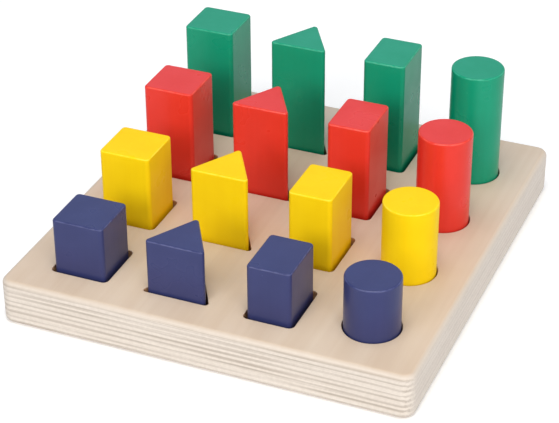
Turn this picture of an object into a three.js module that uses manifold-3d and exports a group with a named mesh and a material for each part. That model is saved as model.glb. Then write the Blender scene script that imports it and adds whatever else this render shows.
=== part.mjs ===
// A plywood board with rows and columns of blind sockets, and a painted wooden block standing in each one.
// Millimetres, +Z up, front towards -Y. The origin is at the middle of the board's underside.
import * as THREE from 'three';
import { mergeVertices } from 'three/addons/utils/BufferGeometryUtils.js';
import Module from 'manifold-3d';

// Cross-sections of the blocks, measured between their flats as if no corner were rounded
const SQUARE_SIDE = 27.2;
const TRIANGLE_SIDE = 32.5;
const RECTANGLE_WIDTH = 22.5;
const RECTANGLE_DEPTH = 30;
const CYLINDER_DIAMETER = 27.3;

// Lengths of the blocks: the front row's, and what each row behind it adds
const SHORTEST_BLOCK = 40;
const BLOCK_STEP = 11;

// Rounding of the blocks: the upright corners, and the edges round both ends
const BLOCK_CORNER_RADIUS = 2.2;
const TRIANGLE_CORNER_RADIUS = 1.7;
const BLOCK_EDGE_RADIUS = 1;

// Sockets: how deep they are, the wood left under them, the play round a block, and the gap under it
const SOCKET_DEPTH = 12;
const SOCKET_FLOOR = 12;
const PRISM_CLEARANCE = 1.7;
const TRIANGLE_CLEARANCE = 1.1;
const CYLINDER_CLEARANCE = 0.6;
const SEAT_GAP = 0.3;

// Rounding of the sockets' upright corners, which is tighter in the three-sided ones
const SOCKET_CORNER_RADIUS = 2.8;
const TRIANGLE_SOCKET_CORNER_RADIUS = 1.7;

// Space between neighbouring blocks, and from the outer blocks to the four edges of the board
const BLOCK_GAP = 21.2;
const LEFT_MARGIN = 21;
const RIGHT_MARGIN = 17.6;
const FRONT_MARGIN = 17.7;
const BACK_MARGIN = 24.4;

// Rounding of the board: its four upright corners, and the edges of its two faces
const BOARD_CORNER_RADIUS = 6.4;
const BOARD_EDGE_RADIUS = 2.8;

// Facets: along a rounded corner, round a cylinder, and over a rounded edge
const CORNER_STEPS = 4;
const ROUND_STEPS = 40;
const EDGE_STEPS = 2;
const BOARD_EDGE_STEPS = 3;

// A rounded edge stays a little smaller than the corner that it runs round.
const EDGE_SHARE_OF_CORNER = 0.9;
const CUT_OVERSHOOT = 1;
const MERGE_DISTANCE = 1e-4;

// Height of an equal-sided triangle with sides of 1
const HEIGHT_PER_SIDE = Math.sqrt(3) / 2;

const wasm = await Module();
wasm.setup();

// The middles of a rounded rectangle's four corner arcs, anticlockwise.
function rectangleCore(width, depth, radius) {
  const x = width / 2 - radius;
  const y = depth / 2 - radius;
  return [[-x, -y], [x, -y], [x, y], [-x, y]].map(([u, v]) => new THREE.Vector2(u, v));
}

// The middles of a rounded equal-sided triangle's three corner arcs, with a flat to the front.
// The side is measured between the sharp corners, and the rounded shape is centred from front to back.
function triangleCore(side, radius) {
  const inner = side - 4 * HEIGHT_PER_SIDE * radius;
  const height = inner * HEIGHT_PER_SIDE;
  return [[-inner / 2, -height / 2], [inner / 2, -height / 2], [0, height / 2]]
    .map(([u, v]) => new THREE.Vector2(u, v));
}

// A core whose sides have all moved outwards by one distance and still meet in points.
function grown(core, distance) {
  return core.map((corner, i) => {
    const arriving = corner.clone().sub(core[(i + core.length - 1) % core.length]).normalize();
    const leaving = core[(i + 1) % core.length].clone().sub(corner).normalize();
    const outward = new THREE.Vector2(arriving.y + leaving.y, -arriving.x - leaving.x);
    return outward.multiplyScalar(distance / (1 + arriving.dot(leaving))).add(corner);
  });
}

// A closed outline that keeps one distance from a convex core, which may be a single point.
function outline(core, radius, steps) {
  if (core.length === 1) {
    const points = [];
    for (let i = 0; i < steps; i++) {
      const angle = 2 * Math.PI * i / steps;
      points.push(new THREE.Vector2(Math.cos(angle), Math.sin(angle)).multiplyScalar(radius).add(core[0]));
    }
    return new THREE.Shape(points);
  }
  const points = [];
  core.forEach((middle, i) => {
    const before = core[(i + core.length - 1) % core.length];
    const after = core[(i + 1) % core.length];
    const start = middle.clone().sub(before).angle() - Math.PI / 2;
    const end = after.clone().sub(middle).angle() - Math.PI / 2;
    const turn = THREE.MathUtils.euclideanModulo(end - start, 2 * Math.PI);
    for (let k = 0; k <= steps; k++) {
      const angle = start + turn * k / steps;
      points.push(new THREE.Vector2(Math.cos(angle), Math.sin(angle)).multiplyScalar(radius).add(middle));
    }
  });
  return new THREE.Shape(points);
}

// A prism standing on z = 0, with the edges of both ends rounded.
function prism(shape, height, edge, edgeSteps) {
  const geometry = new THREE.ExtrudeGeometry(shape, {
    depth: height - 2 * edge,
    bevelEnabled: edge > 0,
    bevelThickness: edge,
    bevelSize: edge,
    bevelOffset: -edge,
    bevelSegments: edgeSteps,
  });
  return geometry.translate(0, 0, edge);
}

function toSolid(geometry) {
  const bare = geometry.clone();
  bare.deleteAttribute('normal');
  bare.deleteAttribute('uv');
  const merged = mergeVertices(bare, MERGE_DISTANCE);
  return new wasm.Manifold(new wasm.Mesh({
    numProp: 3,
    vertProperties: merged.attributes.position.array,
    triVerts: new Uint32Array(merged.index.array),
  }));
}

function toGeometry(solid) {
  const mesh = solid.getMesh();
  const geometry = new THREE.BufferGeometry();
  geometry.setAttribute('position', new THREE.BufferAttribute(mesh.vertProperties, 3));
  geometry.setIndex(new THREE.BufferAttribute(mesh.triVerts, 1));
  geometry.computeVertexNormals();
  return geometry;
}

// Columns from left to right. Each cross-section is a core and a radius, and so is its socket's mouth.
const columns = [
  {
    name: 'square',
    width: SQUARE_SIDE,
    depth: SQUARE_SIDE,
    core: rectangleCore(SQUARE_SIDE, SQUARE_SIDE, BLOCK_CORNER_RADIUS),
    radius: BLOCK_CORNER_RADIUS,
    clearance: PRISM_CLEARANCE,
    mouthRadius: SOCKET_CORNER_RADIUS,
    steps: CORNER_STEPS,
  },
  {
    name: 'triangle',
    width: TRIANGLE_SIDE,
    depth: TRIANGLE_SIDE * HEIGHT_PER_SIDE,
    core: triangleCore(TRIANGLE_SIDE, TRIANGLE_CORNER_RADIUS),
    radius: TRIANGLE_CORNER_RADIUS,
    clearance: TRIANGLE_CLEARANCE,
    mouthRadius: TRIANGLE_SOCKET_CORNER_RADIUS,
    steps: CORNER_STEPS,
  },
  {
    name: 'rectangle',
    width: RECTANGLE_WIDTH,
    depth: RECTANGLE_DEPTH,
    core: rectangleCore(RECTANGLE_WIDTH, RECTANGLE_DEPTH, BLOCK_CORNER_RADIUS),
    radius: BLOCK_CORNER_RADIUS,
    clearance: PRISM_CLEARANCE,
    mouthRadius: SOCKET_CORNER_RADIUS,
    steps: CORNER_STEPS,
  },
  {
    name: 'cylinder',
    width: CYLINDER_DIAMETER,
    depth: CYLINDER_DIAMETER,
    core: [new THREE.Vector2()],
    radius: CYLINDER_DIAMETER / 2,
    clearance: CYLINDER_CLEARANCE,
    mouthRadius: CYLINDER_DIAMETER / 2 + CYLINDER_CLEARANCE,
    steps: ROUND_STEPS,
  },
];

// Rows from front to back, each in one colour and one length.
const rows = [
  { name: 'blue', color: 0x3b4280 },
  { name: 'yellow', color: 0xf3cd16 },
  { name: 'red', color: 0xdf3427 },
  { name: 'green', color: 0x06915f },
];

// The blocks, the gaps between them and the margins set how large the board is.
const rowDepth = Math.max(...columns.map((column) => column.depth));
const fieldWidth = columns.reduce((sum, column) => sum + column.width, BLOCK_GAP * (columns.length - 1));
const fieldDepth = rowDepth * rows.length + BLOCK_GAP * (rows.length - 1);
const boardWidth = LEFT_MARGIN + fieldWidth + RIGHT_MARGIN;
const boardDepth = FRONT_MARGIN + fieldDepth + BACK_MARGIN;
const boardThickness = SOCKET_FLOOR + SOCKET_DEPTH;

// Each column and row follows the one before it.
let left = -boardWidth / 2 + LEFT_MARGIN;
for (const column of columns) {
  column.x = left + column.width / 2;
  left += column.width + BLOCK_GAP;
}
const firstRow = -boardDepth / 2 + FRONT_MARGIN + rowDepth / 2;
rows.forEach((row, i) => {
  row.y = firstRow + i * (rowDepth + BLOCK_GAP);
  row.length = SHORTEST_BLOCK + i * BLOCK_STEP;
});

const part = new THREE.Group();

// The board, with one socket cut for each block
const boardOutline = outline(
  rectangleCore(boardWidth, boardDepth, BOARD_CORNER_RADIUS),
  BOARD_CORNER_RADIUS,
  CORNER_STEPS,
);
const boardEdge = Math.min(BOARD_EDGE_RADIUS, EDGE_SHARE_OF_CORNER * BOARD_CORNER_RADIUS);
let boardSolid = toSolid(prism(boardOutline, boardThickness, boardEdge, BOARD_EDGE_STEPS));
for (const row of rows) {
  for (const column of columns) {
    const mouthCore = grown(column.core, column.radius + column.clearance - column.mouthRadius);
    const mouth = outline(mouthCore, column.mouthRadius, column.steps);
    const cutter = prism(mouth, SOCKET_DEPTH + CUT_OVERSHOOT, 0, 0);
    cutter.translate(column.x, row.y, SOCKET_FLOOR);
    boardSolid = boardSolid.subtract(toSolid(cutter));
  }
}
const board = new THREE.Mesh(
  toGeometry(boardSolid),
  new THREE.MeshStandardMaterial({ color: 0xdec9ac, roughness: 0.5, metalness: 0 }),
);
board.name = 'plywood_board';
part.add(board);

// The blocks, each standing on the floor of its socket
for (const row of rows) {
  const rowGroup = new THREE.Group();
  rowGroup.position.set(0, row.y, SOCKET_FLOOR + SEAT_GAP);
  for (const column of columns) {
    const edge = Math.min(BLOCK_EDGE_RADIUS, EDGE_SHARE_OF_CORNER * column.radius);
    const block = new THREE.Mesh(
      prism(outline(column.core, column.radius, column.steps), row.length, edge, EDGE_STEPS),
      new THREE.MeshStandardMaterial({ color: row.color, roughness: 0.3, metalness: 0 }),
    );
    block.name = `${row.name}_${column.name}`;
    block.position.x = column.x;
    rowGroup.add(block);
  }
  part.add(rowGroup);
}

export default part;
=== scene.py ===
"""Looks of a size sorting board: a plywood board with sockets and the painted blocks in them."""

import logging
import math
from dataclasses import dataclass, field
from enum import Enum
from typing import Any

import bpy
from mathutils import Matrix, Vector
from mathutils.geometry import tessellate_polygon


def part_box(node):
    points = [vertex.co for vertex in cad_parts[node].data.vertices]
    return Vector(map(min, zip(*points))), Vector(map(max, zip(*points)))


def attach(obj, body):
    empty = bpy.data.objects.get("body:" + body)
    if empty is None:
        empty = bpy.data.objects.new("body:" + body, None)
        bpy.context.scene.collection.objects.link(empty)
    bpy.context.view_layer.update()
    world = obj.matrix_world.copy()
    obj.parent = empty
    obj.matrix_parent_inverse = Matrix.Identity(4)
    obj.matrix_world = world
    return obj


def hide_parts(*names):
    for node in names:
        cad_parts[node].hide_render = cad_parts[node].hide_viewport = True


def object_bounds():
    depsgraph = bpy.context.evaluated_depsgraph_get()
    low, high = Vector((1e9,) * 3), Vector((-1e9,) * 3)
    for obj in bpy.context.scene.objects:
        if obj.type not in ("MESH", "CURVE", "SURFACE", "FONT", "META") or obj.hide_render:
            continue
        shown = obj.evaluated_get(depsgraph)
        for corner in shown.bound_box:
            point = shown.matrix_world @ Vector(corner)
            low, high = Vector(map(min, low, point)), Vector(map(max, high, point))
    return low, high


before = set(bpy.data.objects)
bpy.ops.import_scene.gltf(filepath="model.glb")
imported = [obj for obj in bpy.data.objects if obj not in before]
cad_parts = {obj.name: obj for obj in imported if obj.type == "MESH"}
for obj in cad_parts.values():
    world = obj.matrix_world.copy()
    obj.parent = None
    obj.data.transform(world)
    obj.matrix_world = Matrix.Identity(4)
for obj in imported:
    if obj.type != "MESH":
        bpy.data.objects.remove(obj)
cad_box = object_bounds()

log = logging.getLogger("size_sorting_board")

Span = tuple[float, float]
Triple = tuple[float, float, float]
Colour = tuple[float, float, float]
Opaque = tuple[float, float, float, float]
Inputs = bpy.types.NodeInputs
Outputs = bpy.types.NodeOutputs
Socket = bpy.types.NodeSocket
Value = Socket | float
Tint = Socket | Opaque

MM = 0.001

# Tilt of a normal that points straight up
UP = math.radians(90)

# Constants of the display's colour curve
DISPLAY_WHITE = 255
CURVE_KNEE = 0.04045
CURVE_SLOPE = 12.92
CURVE_OFFSET = 0.055
CURVE_POWER = 2.4

# Sockets of a Mix node that mixes colours, whose names also belong to its other kinds
MIX_SHARE = 0
MIX_FIRST = 6
MIX_SECOND = 7
MIX_RESULT = 2

# Corners of an outline, anticlockwise from the front left, from -1 to 1 across its box
RECTANGLE_CORNERS = ((-1, -1), (1, -1), (1, 1), (-1, 1))
TRIANGLE_CORNERS = ((-1, -1), (1, -1), (0, 1))


class RowColour(Enum):
    """Colours of the rows of blocks, from the front to the back."""

    BLUE = "blue"
    YELLOW = "yellow"
    RED = "red"
    GREEN = "green"


class Section(Enum):
    """Cross-sections of the blocks, from the left to the right."""

    SQUARE = "square"
    TRIANGLE = "triangle"
    RECTANGLE = "rectangle"
    CYLINDER = "cylinder"


def linear(red: int, green: int, blue: int) -> Colour:
    """Turns a display colour into the linear colour that a shader takes.

    Args:
        red: Red from 0 to 255.
        green: Green from 0 to 255.
        blue: Blue from 0 to 255.

    Returns:
        The three linear channels from 0 to 1.
    """
    channels = []
    for level in (red, green, blue):
        share = level / DISPLAY_WHITE
        if share <= CURVE_KNEE:
            channels.append(share / CURVE_SLOPE)
        else:
            channels.append(((share + CURVE_OFFSET) / (1 + CURVE_OFFSET)) ** CURVE_POWER)
    return tuple(channels)


def opaque(colour: Colour) -> Opaque:
    """Adds full opacity to a colour."""
    return (*colour, 1.0)


@dataclass(frozen=True)
class Outline:
    """A closed outline that keeps one distance from a convex core.

    Attributes:
        core: Middles of the corner arcs, anticlockwise, or one point for a circle.
        radius: Distance from the core in metres.
        steps: Facets along each corner arc, or round the circle.
    """

    core: tuple[Vector, ...]
    radius: float
    steps: int

    @classmethod
    def inside(
        cls, low: Vector, high: Vector, corners: tuple[Span, ...], radius: float, steps: int
    ) -> "Outline":
        """Fits an outline with rounded corners into a box, seen from above.

        Args:
            low: Lowest corner of the box in metres.
            high: Highest corner of the box in metres.
            corners: Corners of the outline, anticlockwise, from -1 to 1 across the box.
            radius: Radius of the corners in metres.
            steps: Facets along each corner arc.

        Returns:
            The outline.
        """
        middle = ((low + high) / 2).xy
        x = (high.x - low.x) / 2 - radius
        y = (high.y - low.y) / 2 - radius
        return cls(tuple(middle + Vector((u * x, v * y)) for u, v in corners), radius, steps)

    def spokes(self) -> list[tuple[Vector, Vector]]:
        """Finds where each point of the outline comes from and which way it faces.

        Returns:
            Pairs of a core point and an outward direction, anticlockwise.
        """
        count = len(self.core)
        if count == 1:
            turns = [2 * math.pi * i / self.steps for i in range(self.steps)]
            return [(self.core[0], Vector((math.cos(a), math.sin(a)))) for a in turns]
        pairs = []
        for i, middle in enumerate(self.core):
            before = middle - self.core[i - 1]
            after = self.core[(i + 1) % count] - middle
            start = math.atan2(before.y, before.x) - math.pi / 2
            turn = (math.atan2(after.y, after.x) - math.atan2(before.y, before.x)) % (2 * math.pi)
            for k in range(self.steps + 1):
                angle = start + turn * k / self.steps
                pairs.append((middle, Vector((math.cos(angle), math.sin(angle)))))
        return pairs

    def grown(self, distance: float, radius: float) -> "Outline":
        """Moves every side outwards, so that the corners keep their angle.

        Args:
            distance: How far the sides move, in metres.
            radius: The new radius of the corners, in metres. A circle has none to change.

        Returns:
            The larger outline.
        """
        count = len(self.core)
        if count == 1:
            return Outline(self.core, self.radius + distance, self.steps)
        reach = self.radius + distance - radius
        core = []
        for i, corner in enumerate(self.core):
            arriving = (corner - self.core[i - 1]).normalized()
            leaving = (self.core[(i + 1) % count] - corner).normalized()
            outward = Vector((arriving.y + leaving.y, -arriving.x - leaving.x))
            core.append(corner + outward * (reach / (1 + arriving.dot(leaving))))
        return Outline(tuple(core), radius, self.steps)


class SmoothShell:
    """Rings of points with exact normals, joined into one smooth mesh."""

    def __init__(self) -> None:
        """Starts with no points."""
        self.points: list[Vector] = []
        self.normals: list[Vector] = []
        self.marks: dict[str, list[float]] = {"edge_mark": [], "socket_shade_mark": []}
        self.faces: list[tuple[int, ...]] = []

    def ring(
        self, outline: Outline, offset: float, height: float, tilt: float, side: int = 1
    ) -> list[int]:
        """Adds one ring of points.

        Args:
            outline: The outline that the ring follows.
            offset: How far outside the outline it lies, in metres.
            height: Its height in metres.
            tilt: How far its normals lean up from the horizontal, in radians.
            side: 1 where the surface faces away from the core, -1 where it faces the core.

        Returns:
            The indices of the ring's points.
        """
        first = len(self.points)
        level = side * math.cos(tilt)
        for middle, outward in outline.spokes():
            place = middle + outward * (outline.radius + offset)
            self.points.append(Vector((place.x, place.y, height)))
            self.normals.append(Vector((outward.x * level, outward.y * level, math.sin(tilt))))
            self.marks["edge_mark"].append(abs(math.sin(2 * tilt)))
            # Walls that face the core, in the sockets, carry the mark for their painted shade
            self.marks["socket_shade_mark"].append(math.cos(tilt) if side < 0 else 0.0)
        return list(range(first, len(self.points)))

    def bridge(self, rings: list[list[int]]) -> None:
        """Joins neighbouring rings with quads, which face outwards where the rings climb.

        Args:
            rings: The rings in order, all with the same number of points.
        """
        for lower, upper in zip(rings, rings[1:]):
            count = len(lower)
            for i in range(count):
                j = (i + 1) % count
                self.faces.append((lower[i], lower[j], upper[j], upper[i]))

    def rounded_sides(
        self, outline: Outline, low: float, high: float, edge: float, steps: int
    ) -> list[list[int]]:
        """Adds upright sides whose lower and upper edges are rounded.

        Args:
            outline: The outline that the sides follow.
            low: Height of the lower face in metres.
            high: Height of the upper face in metres.
            edge: Radius of both edges in metres.
            steps: Facets over each edge.

        Returns:
            The rings, from the lower face to the upper one.
        """
        tilts = [UP * k / steps for k in range(steps + 1)]
        rings = []
        for tilt in reversed(tilts):
            height = low + edge * (1 - math.sin(tilt))
            rings.append(self.ring(outline, -edge * (1 - math.cos(tilt)), height, -tilt))
        for tilt in tilts:
            height = high - edge * (1 - math.sin(tilt))
            rings.append(self.ring(outline, -edge * (1 - math.cos(tilt)), height, tilt))
        self.bridge(rings)
        return rings

    def cap(self, ring: list[int], upward: bool) -> None:
        """Closes a ring with one flat face."""
        self.faces.append(tuple(ring if upward else reversed(ring)))

    def cap_with_holes(self, rim: list[int], holes: list[list[int]]) -> None:
        """Closes a ring with a flat face that looks up, and leaves holes in it.

        Args:
            rim: The outer ring.
            holes: The rings of the holes.
        """
        loops = [rim] + holes
        order = [i for loop in loops for i in loop]
        for corners in tessellate_polygon([[self.points[i] for i in loop] for loop in loops]):
            a, b, c = (order[k] for k in corners)
            turn = (self.points[b] - self.points[a]).cross(self.points[c] - self.points[a])
            self.faces.append((a, b, c) if turn.z > 0 else (a, c, b))

    def to_object(self, name: str, material: bpy.types.Material) -> bpy.types.Object:
        """Makes the mesh object.

        Args:
            name: Name of the object.
            material: The finish that it wears.

        Returns:
            The linked object.
        """
        mesh = bpy.data.meshes.new(name)
        mesh.from_pydata(self.points, [], self.faces)
        mesh.shade_smooth()
        mesh.normals_split_custom_set_from_vertices(self.normals)
        for label, marks in self.marks.items():
            mesh.attributes.new(label, "FLOAT", "POINT").data.foreach_set("value", marks)
        mesh.materials.append(material)
        piece = bpy.data.objects.new(name, mesh)
        bpy.context.scene.collection.objects.link(piece)
        return piece


class Graph:
    """Adds nodes to one node tree and wires them."""

    def __init__(self, tree: bpy.types.NodeTree) -> None:
        """Takes the tree that the nodes go into."""
        self.tree = tree

    def add(
        self, kind: str, inputs: dict[str | int, Any] | None = None, **settings: Any
    ) -> bpy.types.Node:
        """Adds one node.

        Args:
            kind: Type name of the node.
            inputs: Values or sockets for its inputs, by name or index.
            settings: Properties of the node.

        Returns:
            The new node.
        """
        node = self.tree.nodes.new(kind)
        for key, value in settings.items():
            setattr(node, key, value)
        for key, value in (inputs or {}).items():
            if isinstance(value, Socket):
                self.link(value, node.inputs[key])
            else:
                node.inputs[key].default_value = value
        return node

    def link(self, source: Socket, target: Socket) -> None:
        """Wires one socket to another."""
        self.tree.links.new(source, target)

    def effect(self, tree: bpy.types.NodeTree, **inputs: Any) -> Outputs:
        """Places a shared effect, whose inputs are named in lower case, and returns its outputs."""
        named = {key.replace("_", " ").title(): value for key, value in inputs.items()}
        return self.add("ShaderNodeGroup", named, node_tree=tree).outputs

    def math(self, operation: str, *values: Value) -> Socket:
        """Adds a Math node and returns its result."""
        return self.add("ShaderNodeMath", dict(enumerate(values)), operation=operation).outputs[0]

    def times(self, value: Value, factor: Value) -> Socket:
        """Multiplies two values and returns the result."""
        return self.math("MULTIPLY", value, factor)

    def opposite(self, share: Value) -> Socket:
        """Takes a share from 1 and returns what is left."""
        return self.math("SUBTRACT", 1.0, share)

    def centred(self, value: Value) -> Socket:
        """Takes a half from a value, so that its middle is at 0, and returns the result."""
        return self.math("SUBTRACT", value, 0.5)

    def step(self, value: Socket, low: float, high: float) -> Socket:
        """Adds a soft step from 0 at low to 1 at high and returns its result."""
        inputs = {"Value": value, "From Min": low, "From Max": high}
        return self.add("ShaderNodeMapRange", inputs, interpolation_type="SMOOTHSTEP").outputs[0]

    def span(self, value: Socket, low: float, high: float) -> Socket:
        """Stretches a value from 0 to 1 over low to high and returns the result."""
        inputs = {"Value": value, "To Min": low, "To Max": high}
        return self.add("ShaderNodeMapRange", inputs).outputs[0]

    def blend(self, share: Socket, first: Tint, second: Tint) -> Socket:
        """Mixes two colours by a share and returns the colour."""
        inputs = {MIX_SHARE: share, MIX_FIRST: first, MIX_SECOND: second}
        return self.add("ShaderNodeMix", inputs, data_type="RGBA").outputs[MIX_RESULT]

    def noise(self, place: Socket, scale: Value, **more: float) -> Socket:
        """Adds a Noise Texture and returns its value."""
        inputs = {"Vector": place, "Scale": scale} | {k.capitalize(): v for k, v in more.items()}
        return self.add("ShaderNodeTexNoise", inputs).outputs[0]

    def axes(self, vector: Socket) -> dict[str, Socket]:
        """Splits a vector and returns its values by axis."""
        parts = self.add("ShaderNodeSeparateXYZ", {0: vector}).outputs
        return {axis: parts[axis] for axis in "XYZ"}

    def mark(self, name: str) -> Socket:
        """Reads a mark that the mesh carries and returns its value."""
        return self.add("ShaderNodeAttribute", attribute_name=name).outputs["Fac"]

    def place(self) -> Socket:
        """Finds the place on the piece, in metres."""
        return self.add("ShaderNodeTexCoord").outputs["Object"]

    def bump(self, relief: Socket, strength: float, depth: float) -> Socket:
        """Turns relief into a bent normal and returns it."""
        inputs = {"Strength": strength, "Distance": depth, "Height": relief}
        return self.add("ShaderNodeBump", inputs).outputs["Normal"]


@dataclass
class SurfaceEffects:
    """Effects that several finishes share, each one a node group made once.

    Attributes:
        streak_range: Noise between which a streak of the grain comes up.
        pore_range: Noise between which a pore of the grain comes up.
        pores_per_streak: How many times finer the pores are than the streaks.
        patch_range: Noise between which a patch comes up.
        speck_chance: Random values between which a cell gets a speck.
        speck_reach: Distances from a cell's middle between which its speck ends.
        wear_and_highlight_range: Noise between which an edge is worn and carries a painted
            highlight.
        edge_range: Edge marks between which an edge starts, which keeps the wear and the painted
            highlight line to the middle of the rounding.
        wood_grain: Streaks and pores along one axis.
        soft_mottle: Patches, ripple and specks.
        worn_and_highlit_edges: Rubbed places along rounded edges.
    """

    streak_range: Span = (0.28, 0.72)
    pore_range: Span = (0.64, 0.78)
    pores_per_streak: float = 4.3
    patch_range: Span = (0.2, 0.8)
    speck_chance: Span = (0.84, 0.86)
    speck_reach: Span = (0.03, 0.07)
    wear_and_highlight_range: Span = (0.36, 0.6)
    edge_range: Span = (0.7, 1.0)
    wood_grain: bpy.types.NodeTree = field(init=False)
    soft_mottle: bpy.types.NodeTree = field(init=False)
    worn_and_highlit_edges: bpy.types.NodeTree = field(init=False)

    def __post_init__(self) -> None:
        """Builds the three groups."""
        self.wood_grain = self._wood_grain()
        self.soft_mottle = self._soft_mottle()
        self.worn_and_highlit_edges = self._worn_and_highlit_edges()

    @staticmethod
    def _start(
        name: str, takes: dict[str, str], gives: list[str]
    ) -> tuple[Graph, Outputs, Inputs]:
        """Makes an empty group.

        Args:
            name: Name of the group.
            takes: Socket type of each input by name.
            gives: Names of the outputs, which are all values.

        Returns:
            The graph, the outputs of its input node and the inputs of its output node.
        """
        tree = bpy.data.node_groups.new(name, "ShaderNodeTree")
        for label, kind in takes.items():
            tree.interface.new_socket(label, in_out="INPUT", socket_type=kind)
        for label in gives:
            tree.interface.new_socket(label, in_out="OUTPUT", socket_type="NodeSocketFloat")
        graph = Graph(tree)
        return graph, graph.add("NodeGroupInput").outputs, graph.add("NodeGroupOutput").inputs

    def _wood_grain(self) -> bpy.types.NodeTree:
        """Builds soft streaks and short pores that run along the axis with the smallest frequency.

        Returns:
            The group.
        """
        takes = {"Place": "NodeSocketVector", "Frequency": "NodeSocketVector"}
        graph, source, sink = self._start("wood_grain", takes, ["Streaks", "Pores"])
        inputs = {0: source["Place"], 1: source["Frequency"]}
        place = graph.add("ShaderNodeVectorMath", inputs, operation="MULTIPLY").outputs[0]
        streaks = graph.noise(place, 1.0, detail=3.0, roughness=0.55, distortion=0.15)
        pores = graph.noise(place, self.pores_per_streak, detail=1.0, roughness=0.5)
        graph.link(graph.step(streaks, *self.streak_range), sink["Streaks"])
        graph.link(graph.step(pores, *self.pore_range), sink["Pores"])
        return graph.tree

    def _soft_mottle(self) -> bpy.types.NodeTree:
        """Builds broad soft patches, the ripple of a sprayed film, and a few fine specks.

        Returns:
            The group.
        """
        takes = {
            "Place": "NodeSocketVector",
            "Patch Frequency": "NodeSocketFloat",
            "Ripple Frequency": "NodeSocketFloat",
            "Speck Frequency": "NodeSocketFloat",
        }
        graph, source, sink = self._start("soft_mottle", takes, ["Patches", "Ripple", "Specks"])
        place = source["Place"]
        patches = graph.noise(place, source["Patch Frequency"], detail=2.0, roughness=0.5)
        ripple = graph.noise(place, source["Ripple Frequency"], detail=1.0, roughness=0.4)
        inputs = {"Vector": place, "Scale": source["Speck Frequency"]}
        cells = graph.add("ShaderNodeTexVoronoi", inputs).outputs
        chosen = graph.step(graph.axes(cells["Color"])["X"], *self.speck_chance)
        near = graph.opposite(graph.step(cells["Distance"], *self.speck_reach))
        graph.link(graph.step(patches, *self.patch_range), sink["Patches"])
        graph.link(ripple, sink["Ripple"])
        graph.link(graph.times(chosen, near), sink["Specks"])
        return graph.tree

    def _worn_and_highlit_edges(self) -> bpy.types.NodeTree:
        """Builds a broken mask along rounded edges, where hands wear the paint and where a painted
        highlight line goes.

        Returns:
            The group.
        """
        takes = {"Place": "NodeSocketVector", "Frequency": "NodeSocketFloat"}
        graph, source, sink = self._start("worn_and_highlit_edges", takes, ["Rubbed"])
        # The middle of each rounded edge, where wear and a painted highlight line go
        edge = graph.step(graph.mark("edge_mark"), *self.edge_range)
        patchy = graph.noise(source["Place"], source["Frequency"], detail=4.0, roughness=0.65)
        broken = graph.step(patchy, *self.wear_and_highlight_range)
        graph.link(graph.times(edge, broken), sink["Rubbed"])
        return graph.tree


def new_material(name: str) -> tuple[bpy.types.Material, Graph, Inputs]:
    """Makes a material with one Principled BSDF.

    Args:
        name: Name of the material.

    Returns:
        The material, its graph and the inputs of its shader.
    """
    material = bpy.data.materials.new(name)
    material.use_nodes = True
    shader = material.node_tree.nodes["Principled BSDF"]
    return material, Graph(material.node_tree), shader.inputs


@dataclass(frozen=True)
class PaintFinish:
    """Opaque satin paint on a wooden block.

    Frequencies are in cycles per metre.

    Attributes:
        row: The row that wears the paint.
        colour: Main colour.
        deep_colour: Colour of the slightly darker patches.
        worn_and_highlight_colour: Lighter colour of worn edges, which also paints a highlight line
            along them.
        shine: How strongly the paint mirrors, where 0.5 is plain varnish.
        gloss: Roughness of the smoothest and of the dullest patches.
        grain_frequency: Frequency of the upright grain that shows through, along each axis.
        patch_frequency: Frequency of the darker and duller patches.
        ripple_frequency: Frequency of the film's ripple.
        speck_frequency: Frequency of the specks.
        wear_and_highlight_frequency: Frequency of the worn places, and of the breaks in the painted
            highlight, along an edge.
        patch_share: How far a patch goes to the deep colour.
        streak_share: How far a streak of the grain goes to the deep colour.
        wear_and_highlight_share: How far an edge goes to its colour, partly for wear and partly as
            a painted highlight.
        speck_share: How far a speck goes to the worn and highlight colour.
        streak_relief: Height of the streaks beside the ripple's.
        bump_strength: Strength of the relief.
        bump_depth: Depth of the relief in metres.
    """

    row: RowColour
    colour: Colour
    deep_colour: Colour
    worn_and_highlight_colour: Colour
    shine: float = 0.35
    gloss: Span = (0.26, 0.36)
    grain_frequency: Triple = (420, 420, 12)
    patch_frequency: float = 60
    ripple_frequency: float = 420
    speck_frequency: float = 190
    wear_and_highlight_frequency: float = 260
    patch_share: float = 0.6
    streak_share: float = 0.25
    wear_and_highlight_share: float = 0.45
    speck_share: float = 0.3
    streak_relief: float = 0.5
    bump_strength: float = 0.05
    bump_depth: float = 0.2 * MM

    @property
    def slot(self) -> str:
        """Name of the record's material slot."""
        return f"{self.row.value}_paint"

    def material(self, effects: SurfaceEffects) -> bpy.types.Material:
        """Builds the paint.

        Args:
            effects: The shared effects.

        Returns:
            The material.
        """
        material, graph, shader = new_material(self.slot)
        place = graph.place()
        grain = graph.effect(effects.wood_grain, place=place, frequency=self.grain_frequency)
        mottle = graph.effect(
            effects.soft_mottle,
            place=place,
            patch_frequency=self.patch_frequency,
            ripple_frequency=self.ripple_frequency,
            speck_frequency=self.speck_frequency,
        )
        edges = graph.effect(effects.worn_and_highlit_edges, place=place, frequency=self.wear_and_highlight_frequency)

        patches = graph.times(mottle["Patches"], self.patch_share)
        shade = graph.math("MULTIPLY_ADD", grain["Streaks"], self.streak_share, patches)
        colour = graph.blend(shade, opaque(self.colour), opaque(self.deep_colour))
        # Lighter edges: wear, and a painted highlight line along the rounding
        worn_and_highlit = graph.times(edges["Rubbed"], self.wear_and_highlight_share)
        specks = graph.times(mottle["Specks"], self.speck_share)
        for share in (worn_and_highlit, specks):
            colour = graph.blend(share, colour, opaque(self.worn_and_highlight_colour))
        relief = graph.math("MULTIPLY_ADD", grain["Streaks"], self.streak_relief, mottle["Ripple"])

        graph.link(colour, shader["Base Color"])
        graph.link(graph.span(mottle["Patches"], *self.gloss), shader["Roughness"])
        graph.link(graph.bump(relief, self.bump_strength, self.bump_depth), shader["Normal"])
        shader["Specular IOR Level"].default_value = self.shine
        return material


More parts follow.
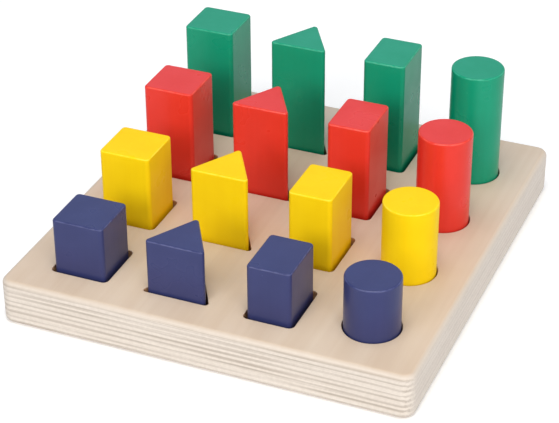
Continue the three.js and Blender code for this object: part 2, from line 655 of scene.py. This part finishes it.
@dataclass(frozen=True)
class PlywoodFinish:
    """Lacquered birch plywood, whose plies show wherever the sheet is cut.

    Frequencies are in cycles per metre.

    Attributes:
        slot: Name of the record's material slot.
        plies: How many plies the sheet has.
        thickness: Thickness of the sheet in metres.
        face_colour: Colour of the face veneers.
        face_figure: Colour of the streaks in the face veneers.
        light_ply: Colour of the plies that look light at a cut edge.
        dark_ply: Colour of the plies that look dark at a cut edge.
        glue_line: Colour between two plies, and of specks and fine cracks.
        socket_wall_shade: Darker brown of the socket walls, painted shade in the sockets, tinted
            like the light that the blocks throw into them.
        round_shade_colour: Greyer, darker colour of the edges that round upwards, such as the top
            edge and the socket rims: painted shade that dims how brightly they catch the light.
        shine: How strongly the lacquer mirrors, where 0.5 is plain varnish.
        gloss: Roughness of the face between and on its streaks.
        cut_dullness: What a cut adds to the roughness.
        ply_grain: Frequency of the fibres that show at a cut, along each axis.
        face_grain: Frequency of the face veneer's fibres, along each axis.
        face_bands: Frequency of the face veneer's broad streaks, along each axis.
        patch_frequency: Frequency of the face veneer's patches.
        speck_frequency: Frequency of the face veneer's specks.
        band_share: How far a broad streak goes to the figure's colour.
        patch_share: How far a patch goes to the figure's colour.
        pore_share: How far a pore goes to the figure's colour.
        speck_share: How far a speck goes to its colour.
        cut_range: Steepness, as the normal's upright share, between which a cut turns into a face.
        front_range: The normal's share along y between which a cut faces the front or back.
        round_shade_start: The normal's upright share between which the painted shade of a rounded
            edge starts.
        round_shade_end: The normal's upright share between which the painted shade of a rounded
            edge ends.
        round_shade_share: How far a rounded edge goes to its painted shade colour.
        wander_frequency: Frequency at which the plies wander up and down.
        wander: How far they wander, in metres.
        fraying: How much the fibres fray a dark ply, as a share of a ply.
        dark_range: How near the middle of a dark ply its colour comes up.
        ply_strength: How plainly a dark ply shows, from faint to plain.
        side_strength: How plainly dark plies show on the sides, and at the front and back.
        glue_reach: How far a glue line reaches, as a share of a ply.
        glue_strength: How plainly a glue line shows, from faint to plain.
        fade_frequency: Frequency at which a layer fades along the edge.
        fade_spread: How far apart the noise of two neighbouring layers lies.
        fade_range: Noise between which a layer gets plain.
        fibre_share: How far the fibres of a cut go to the glue's colour.
        crack_share: How far a fine crack goes to the glue's colour.
        socket_wall_shade_share: How far a socket wall goes to its painted shade colour.
        ply_sink: How far a dark ply is sunk, beside the depth of a pore.
        bump_strength: Strength of the relief.
        bump_depth: Depth of the relief in metres.
    """

    slot: str = "plywood"
    plies: int = 17
    thickness: float = 24 * MM
    face_colour: Colour = linear(220, 203, 184)
    face_figure: Colour = linear(205, 182, 159)
    light_ply: Colour = linear(229, 219, 208)
    dark_ply: Colour = linear(190, 177, 164)
    glue_line: Colour = linear(150, 134, 118)
    socket_wall_shade: Colour = linear(206, 152, 104)
    round_shade_colour: Colour = linear(204, 191, 178)
    shine: float = 0.3
    gloss: Span = (0.4, 0.5)
    cut_dullness: float = 0.12
    ply_grain: Triple = (14, 1200, 1200)
    face_grain: Triple = (500, 9, 500)
    face_bands: Triple = (130, 5, 130)
    patch_frequency: float = 30
    speck_frequency: float = 60
    band_share: float = 0.4
    patch_share: float = 0.4
    pore_share: float = 0.15
    speck_share: float = 0.4
    cut_range: Span = (0.6, 0.95)
    front_range: Span = (0.2, 0.9)
    round_shade_start: Span = (0.1, 0.6)
    round_shade_end: Span = (0.88, 1.0)
    round_shade_share: float = 0.6
    wander_frequency: float = 20
    wander: float = 0.4 * MM
    fraying: float = 0.5
    dark_range: Span = (0.38, 0.95)
    ply_strength: Span = (0.5, 1.0)
    side_strength: Span = (0.25, 1.0)
    glue_reach: float = 0.16
    glue_strength: Span = (0.0, 0.3)
    fade_frequency: float = 16
    fade_spread: float = 5.3
    fade_range: Span = (0.34, 0.66)
    fibre_share: float = 0.12
    crack_share: float = 0.4
    socket_wall_shade_share: float = 0.9
    ply_sink: float = 0.5
    bump_strength: float = 0.12
    bump_depth: float = 0.2 * MM

    def material(self, effects: SurfaceEffects) -> bpy.types.Material:
        """Builds the plywood.

        Args:
            effects: The shared effects.

        Returns:
            The material.
        """
        material, graph, shader = new_material(self.slot)
        place = graph.place()
        ply, fibres, bands = (
            graph.effect(effects.wood_grain, place=place, frequency=frequency)
            for frequency in (self.ply_grain, self.face_grain, self.face_bands)
        )
        mottle = graph.effect(
            effects.soft_mottle,
            place=place,
            patch_frequency=self.patch_frequency,
            speck_frequency=self.speck_frequency,
        )
        normal = graph.axes(graph.add("ShaderNodeNewGeometry").outputs["Normal"])
        cut = graph.opposite(graph.step(graph.math("ABSOLUTE", normal["Z"]), *self.cut_range))

        dark, dark_share, glue = self.layers(graph, place, normal, ply["Streaks"])
        edge = graph.blend(dark_share, opaque(self.light_ply), opaque(self.dark_ply))
        edge = graph.blend(glue, edge, opaque(self.glue_line))
        streaks = graph.math("ADD", ply["Streaks"], fibres["Streaks"])
        threads = graph.times(streaks, self.fibre_share)
        pores = graph.times(ply["Pores"], dark)
        cracks = graph.math("MULTIPLY_ADD", pores, self.crack_share, threads)
        edge = graph.blend(cracks, edge, opaque(self.glue_line))
        # Painted shade on the socket walls: a darker brown that stands for the shade inside the
        # sockets
        socket_shade = graph.times(graph.mark("socket_shade_mark"), self.socket_wall_shade_share)
        edge = graph.blend(socket_shade, edge, opaque(self.socket_wall_shade))

        shade = graph.times(bands["Streaks"], self.band_share)
        shade = graph.math("MULTIPLY_ADD", mottle["Patches"], self.patch_share, shade)
        shade = graph.math("MULTIPLY_ADD", fibres["Pores"], self.pore_share, shade)
        face = graph.blend(shade, opaque(self.face_colour), opaque(self.face_figure))
        specks = graph.times(mottle["Specks"], self.speck_share)
        face = graph.blend(specks, face, opaque(self.glue_line))

        colour = graph.blend(cut, face, edge)
        # Painted shade on the edges that round upwards, which dims how brightly they catch the
        # light
        below_top = graph.opposite(graph.step(normal["Z"], *self.round_shade_end))
        rounded = graph.times(graph.step(normal["Z"], *self.round_shade_start), below_top)
        round_shade = graph.times(rounded, self.round_shade_share)
        colour = graph.blend(round_shade, colour, opaque(self.round_shade_colour))
        face_gloss = graph.span(bands["Streaks"], *self.gloss)
        gloss = graph.math("MULTIPLY_ADD", cut, self.cut_dullness, face_gloss)
        sunk = graph.times(graph.times(dark, cut), -self.ply_sink)
        relief = graph.math("SUBTRACT", sunk, fibres["Pores"])

        graph.link(colour, shader["Base Color"])
        graph.link(gloss, shader["Roughness"])
        graph.link(graph.bump(relief, self.bump_strength, self.bump_depth), shader["Normal"])
        shader["Specular IOR Level"].default_value = self.shine
        return material

    def layers(
        self, graph: Graph, place: Socket, normal: dict[str, Socket], fibres: Socket
    ) -> tuple[Socket, Socket, Socket]:
        """Builds the dark plies and the glue lines of a cut.

        Args:
            graph: The graph that the nodes go into.
            place: Place on the board in metres.
            normal: The surface's normal by axis.
            fibres: Streaks of the fibres at the cut.

        Returns:
            Where the dark plies are, how plainly they show, and how plainly the glue lines show.
        """
        spot = graph.axes(place)
        wander = graph.noise(place, self.wander_frequency, detail=2.0, roughness=0.5)
        height = graph.math("MULTIPLY_ADD", graph.centred(wander), self.wander, spot["Z"])
        count = graph.math("DIVIDE", height, self.thickness / self.plies)
        along = graph.math("ADD", spot["X"], spot["Y"])

        # 0 in the middle of a light ply and 1 in the middle of a dark one
        wave = graph.math("PINGPONG", graph.centred(count), 1.0)
        frayed = graph.math("MULTIPLY_ADD", graph.centred(fibres), self.fraying, wave)
        dark = graph.step(frayed, *self.dark_range)
        shown = self.fading(graph, along, graph.math("FLOOR", count), self.ply_strength)
        front = graph.step(graph.math("ABSOLUTE", normal["Y"]), *self.front_range)
        dark_share = graph.times(graph.times(dark, shown), graph.span(front, *self.side_strength))

        from_seam = graph.math("ABSOLUTE", graph.centred(wave))
        seam = graph.opposite(graph.step(from_seam, 0.0, self.glue_reach))
        shown = self.fading(graph, along, graph.math("ROUND", count), self.glue_strength)
        return dark, dark_share, graph.times(seam, shown)

    def fading(self, graph: Graph, along: Socket, layer: Socket, strength: Span) -> Socket:
        """Builds how plainly one layer shows, which changes along the cut edge.

        Args:
            graph: The graph that the nodes go into.
            along: Distance along the edge in metres.
            layer: Number of the ply or of the seam.
            strength: Value where the layer is faint and where it is plain.

        Returns:
            The strength.
        """
        x = graph.times(along, self.fade_frequency)
        y = graph.times(layer, self.fade_spread)
        run = graph.add("ShaderNodeCombineXYZ", {"X": x, "Y": y}).outputs[0]
        plain = graph.step(graph.noise(run, 1.0, detail=2.0, roughness=0.6), *self.fade_range)
        return graph.span(plain, *strength)


@dataclass(frozen=True)
class FloorFinish:
    """Plain pale studio floor.

    Attributes:
        colour: Main colour.
        patch_colour: Colour of faint broad patches.
        bounced_colour: Colour of the light that it throws back on the pieces.
        patch_frequency: Frequency of the patches in cycles per metre.
        roughness: Roughness of the paper.
        glow: How strongly the backlit paper shines by itself.
    """

    colour: Colour = (0.99, 0.99, 0.99)
    patch_colour: Colour = (0.97, 0.97, 0.97)
    bounced_colour: Colour = (0.62, 0.63, 0.66)
    patch_frequency: float = 2
    roughness: float = 0.8
    glow: float = 0.12

    def material(self, effects: SurfaceEffects) -> bpy.types.Material:
        """Builds the floor's finish.

        Args:
            effects: The shared effects.

        Returns:
            The material.
        """
        material, graph, shader = new_material("studio_floor")
        mottle = graph.effect(
            effects.soft_mottle, place=graph.place(), patch_frequency=self.patch_frequency
        )
        colour = graph.blend(mottle["Patches"], opaque(self.colour), opaque(self.patch_colour))
        seen = graph.add("ShaderNodeLightPath").outputs["Is Camera Ray"]
        graph.link(graph.blend(seen, opaque(self.bounced_colour), colour), shader["Base Color"])
        shader["Roughness"].default_value = self.roughness
        shader["Emission Color"].default_value = opaque(self.colour)
        shader["Emission Strength"].default_value = self.glow
        return material


@dataclass
class PaintedBlock:
    """One block of one row: a straight prism or cylinder with softened edges.

    Attributes:
        row: The row that it belongs to.
        section: Its cross-section.
        corner: Radius of the upright corners of a four-sided block in metres.
        triangle_corner: Radius of the upright corners of a three-sided block in metres.
        edge: Radius of the edges round both ends in metres.
        corner_steps: Facets along an upright corner.
        round_steps: Facets round a cylinder.
        edge_steps: Facets over an end edge.
    """

    row: RowColour
    section: Section
    corner: float = 2.2 * MM
    triangle_corner: float = 1.7 * MM
    edge: float = 1.0 * MM
    corner_steps: int = 8
    round_steps: int = 96
    edge_steps: int = 6

    @property
    def node(self) -> str:
        """Name of the block's CAD node, which its body shares."""
        return f"{self.row.value}_{self.section.value}"

    def outline(self) -> Outline:
        """Finds the block's outline from the CAD node's box.

        Returns:
            The outline, in metres.
        """
        low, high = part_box(self.node)
        if self.section is Section.CYLINDER:
            middle = ((low + high) / 2).xy
            return Outline((middle,), (high.x - low.x) / 2, self.round_steps)
        corners, radius = RECTANGLE_CORNERS, self.corner
        if self.section is Section.TRIANGLE:
            corners, radius = TRIANGLE_CORNERS, self.triangle_corner
        return Outline.inside(low, high, corners, radius, self.corner_steps)

    def build(self, material: bpy.types.Material) -> bpy.types.Object:
        """Builds the block.

        Args:
            material: Its paint.

        Returns:
            The finished piece, riding on its body.
        """
        low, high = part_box(self.node)
        shell = SmoothShell()
        rings = shell.rounded_sides(self.outline(), low.z, high.z, self.edge, self.edge_steps)
        shell.cap(rings[0], upward=False)
        shell.cap(rings[-1], upward=True)
        piece = shell.to_object(f"painted_{self.node}", material)
        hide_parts(self.node)
        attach(piece, self.node)
        return piece


@dataclass
class PlywoodBoard:
    """The board: a sheet with rounded corners and edges, and a blind socket for every block.

    Attributes:
        blocks: The blocks that the sockets are cut for.
        node: Name of the board's CAD node.
        body: Name of the body that it rides on.
        corner: Radius of its upright corners in metres.
        edge: Radius of the edges of both faces in metres.
        socket_depth: Depth of the sockets in metres.
        prism_clearance: Room round a four-sided block in metres.
        triangle_clearance: Room round a three-sided block in metres.
        cylinder_clearance: Room round a cylinder in metres.
        mouth_corner: Radius of the upright corners of a four-sided socket in metres.
        triangle_mouth_corner: Radius of the upright corners of a three-sided socket in metres.
        rim_edge: Radius of the eased rim of a socket in metres.
        floor_edge: Radius that the cutter leaves round a socket's floor in metres.
        corner_steps: Facets along an upright corner.
        edge_steps: Facets over a rounded edge.
        rim_steps: Facets over a rim or round a socket's floor.
    """

    blocks: list[PaintedBlock] = field(default_factory=list)
    node: str = "plywood_board"
    body: str = "board"
    corner: float = 6.4 * MM
    edge: float = 2.8 * MM
    socket_depth: float = 12 * MM
    prism_clearance: float = 1.7 * MM
    triangle_clearance: float = 1.1 * MM
    cylinder_clearance: float = 0.6 * MM
    mouth_corner: float = 2.8 * MM
    triangle_mouth_corner: float = 1.7 * MM
    rim_edge: float = 0.35 * MM
    floor_edge: float = 0.5 * MM
    corner_steps: int = 12
    edge_steps: int = 8
    rim_steps: int = 3

    def sheet(self, shell: SmoothShell) -> list[int]:
        """Adds the underside and the rounded sides.

        Args:
            shell: The mesh that they go into.

        Returns:
            The ring round the top face.
        """
        low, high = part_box(self.node)
        outline = Outline.inside(low, high, RECTANGLE_CORNERS, self.corner, self.corner_steps)
        rings = shell.rounded_sides(outline, low.z, high.z, self.edge, self.edge_steps)
        shell.cap(rings[0], upward=False)
        return rings[-1]

    def socket(self, shell: SmoothShell, block: PaintedBlock, top: float) -> list[int]:
        """Adds one socket.

        Args:
            shell: The mesh that it goes into.
            block: The block that it holds.
            top: Height of the board's top face in metres.

        Returns:
            The ring of its rim.
        """
        mouths = {
            Section.TRIANGLE: (self.triangle_clearance, self.triangle_mouth_corner),
            Section.CYLINDER: (self.cylinder_clearance, 0.0),
        }
        clearance, corner = mouths.get(block.section, (self.prism_clearance, self.mouth_corner))
        mouth = block.outline().grown(clearance, corner)
        floor = top - self.socket_depth
        tilts = [UP * k / self.rim_steps for k in range(self.rim_steps + 1)]
        rings = []
        for tilt in reversed(tilts):
            offset = self.rim_edge * (1 - math.cos(tilt))
            height = top - self.rim_edge * (1 - math.sin(tilt))
            rings.append(shell.ring(mouth, offset, height, tilt, side=-1))
        for tilt in tilts:
            offset = -self.floor_edge * (1 - math.cos(tilt))
            height = floor + self.floor_edge * (1 - math.sin(tilt))
            rings.append(shell.ring(mouth, offset, height, tilt, side=-1))
        shell.bridge(rings)
        shell.cap(rings[-1], upward=True)
        return rings[0]

    def build(self, material: bpy.types.Material) -> bpy.types.Object:
        """Builds the board with all its sockets.

        Args:
            material: Its plywood.

        Returns:
            The finished piece, riding on its body.
        """
        shell = SmoothShell()
        rim = self.sheet(shell)
        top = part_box(self.node)[1].z
        mouths = [self.socket(shell, block, top) for block in self.blocks]
        shell.cap_with_holes(rim, mouths)
        piece = shell.to_object("lacquered_board", material)
        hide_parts(self.node)
        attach(piece, self.body)
        return piece


@dataclass(frozen=True)
class SoftLight:
    """A large soft lamp aimed at the board.

    Attributes:
        name: Name of the lamp.
        azimuth: Degrees round from the front, towards +X.
        elevation: Degrees above the horizon.
        size: Side of the square lamp in metres.
        power: Power in watts.
        colour: Colour of its light.
        distance: Distance from the board in metres.
    """

    name: str
    azimuth: float
    elevation: float
    size: float
    power: float
    colour: Colour = (1.0, 0.98, 0.94)
    distance: float = 1.9


def around(aim: Vector, azimuth: float, elevation: float, distance: float) -> Vector:
    """Finds a place round a point.

    Args:
        aim: The point.
        azimuth: Degrees round from the front, towards +X.
        elevation: Degrees above the horizon.
        distance: Distance from the point in metres.

    Returns:
        The place.
    """
    turn = math.radians(azimuth)
    rise = math.radians(elevation)
    level = math.cos(rise)
    direction = (math.sin(turn) * level, -math.cos(turn) * level, math.sin(rise))
    return aim + distance * Vector(direction)


@dataclass
class Studio:
    """Pale floor, soft light and the camera.

    Attributes:
        aim: The point that the camera and the lamps face, in metres.
        azimuth: Camera's degrees round from the front, towards +X.
        elevation: Camera's degrees above the horizon.
        distance: Camera's distance from the aim in metres.
        lens: Focal length in millimetres.
        sensor: Width of the film in millimetres.
        shift: How far the picture is shifted, as shares of its width.
        floor_reach: Half the side of the floor in metres.
        surroundings: Colour of the light that comes from all round.
        lights: The lamps.
    """

    aim: Vector = field(default_factory=lambda: Vector((0.0194, -0.0413, 0.05)))
    azimuth: float = 22.23
    elevation: float = 31.8
    distance: float = 0.9036
    lens: float = 120.36
    sensor: float = 36
    shift: Span = (-0.0256, 0.0041)
    floor_reach: float = 6
    surroundings: Colour = (0.255, 0.262, 0.278)
    lights: tuple[SoftLight, ...] = (
        SoftLight("key_light", azimuth=-19, elevation=24, size=0.7, power=10.7),
        SoftLight("front_light", azimuth=5, elevation=42, size=0.8, power=6.7),
        SoftLight("right_light", azimuth=40, elevation=36, size=0.8, power=4.5),
        SoftLight("low_light", azimuth=50, elevation=14, size=0.8, power=9.4),
        SoftLight("side_light", azimuth=85, elevation=26, size=1.2, power=4.8),
        SoftLight("top_light", azimuth=0, elevation=86, size=0.9, power=16),
        SoftLight("back_light", azimuth=155, elevation=22, size=1.2, power=3),
        SoftLight(
            "sheen_light", azimuth=-158, elevation=32, size=1.3, power=3.8, colour=(0.5, 0.65, 1.0)
        ),
    )

    def lay_floor(self, material: bpy.types.Material) -> None:
        """Lays the floor under the board.

        Args:
            material: The floor's finish.
        """
        reach = self.floor_reach
        level = cad_box[0][2]
        corners = [(u * reach, v * reach, level) for u, v in RECTANGLE_CORNERS]
        mesh = bpy.data.meshes.new("floor")
        mesh.from_pydata(corners, [], [(0, 1, 2, 3)])
        mesh.materials.append(material)
        floor = bpy.data.objects.new("floor", mesh)
        bpy.context.scene.collection.objects.link(floor)

    def hang(
        self, name: str, data: bpy.types.Light | bpy.types.Camera, place: Vector
    ) -> bpy.types.Object:
        """Hangs a lamp or the camera, turned towards the aim.

        Args:
            name: Its name.
            data: The lamp's or the camera's data.
            place: Where it hangs, in metres.

        Returns:
            The linked object.
        """
        hung = bpy.data.objects.new(name, data)
        hung.location = place
        hung.rotation_euler = (self.aim - hung.location).to_track_quat("-Z", "Y").to_euler()
        bpy.context.scene.collection.objects.link(hung)
        return hung

    def light(self) -> None:
        """Hangs the lamps and sets the surroundings."""
        for lamp in self.lights:
            data = bpy.data.lights.new(lamp.name, "AREA")
            data.size = lamp.size
            data.energy = lamp.power
            data.color = lamp.colour
            place = around(self.aim, lamp.azimuth, lamp.elevation, lamp.distance)
            self.hang(lamp.name, data, place)
        world = bpy.data.worlds.new("studio")
        world.use_nodes = True
        background = world.node_tree.nodes["Background"]
        background.inputs["Color"].default_value = opaque(self.surroundings)
        bpy.context.scene.world = world
        bpy.context.scene.view_settings.view_transform = "Standard"

    def place_camera(self) -> None:
        """Places the camera."""
        data = bpy.data.cameras.new("camera")
        data.lens = self.lens
        data.sensor_width = self.sensor
        data.sensor_fit = "HORIZONTAL"
        data.shift_x, data.shift_y = self.shift
        place = around(self.aim, self.azimuth, self.elevation, self.distance)
        bpy.context.scene.camera = self.hang("camera", data, place)


# Each paint's lighter edge colour paints a highlight line along the edges as well as wear
PAINTS = (
    PaintFinish(
        RowColour.BLUE,
        colour=linear(54, 60, 108),
        deep_colour=linear(49, 55, 101),
        worn_and_highlight_colour=linear(104, 110, 154),
    ),
    PaintFinish(
        RowColour.YELLOW,
        colour=linear(250, 211, 20),
        deep_colour=linear(244, 202, 16),
        worn_and_highlight_colour=linear(255, 232, 104),
        shine=0.05,
    ),
    PaintFinish(
        RowColour.RED,
        colour=linear(227, 55, 42),
        deep_colour=linear(220, 49, 37),
        worn_and_highlight_colour=linear(242, 118, 104),
    ),
    PaintFinish(
        RowColour.GREEN,
        colour=linear(4, 152, 115),
        deep_colour=linear(0, 145, 108),
        worn_and_highlight_colour=linear(86, 188, 158),
    ),
)


def main() -> None:
    """Builds every piece in order, then the studio round them."""
    logging.basicConfig(level=logging.INFO, format="%(message)s")
    effects = SurfaceEffects()
    blocks = [PaintedBlock(row, section) for row in RowColour for section in Section]

    plywood = PlywoodFinish()
    board = PlywoodBoard(blocks).build(plywood.material(effects))
    log.info("%s: %d faces, %d sockets", board.name, len(board.data.polygons), len(blocks))

    for paint in PAINTS:
        material = paint.material(effects)
        for block in blocks:
            if block.row is paint.row:
                piece = block.build(material)
                log.info("%s: %d faces", piece.name, len(piece.data.polygons))

    studio = Studio()
    studio.lay_floor(FloorFinish().material(effects))
    studio.light()
    studio.place_camera()
    log.info("studio: floor, %d lamps and camera", len(studio.lights))


if __name__ == "__main__":
    main()
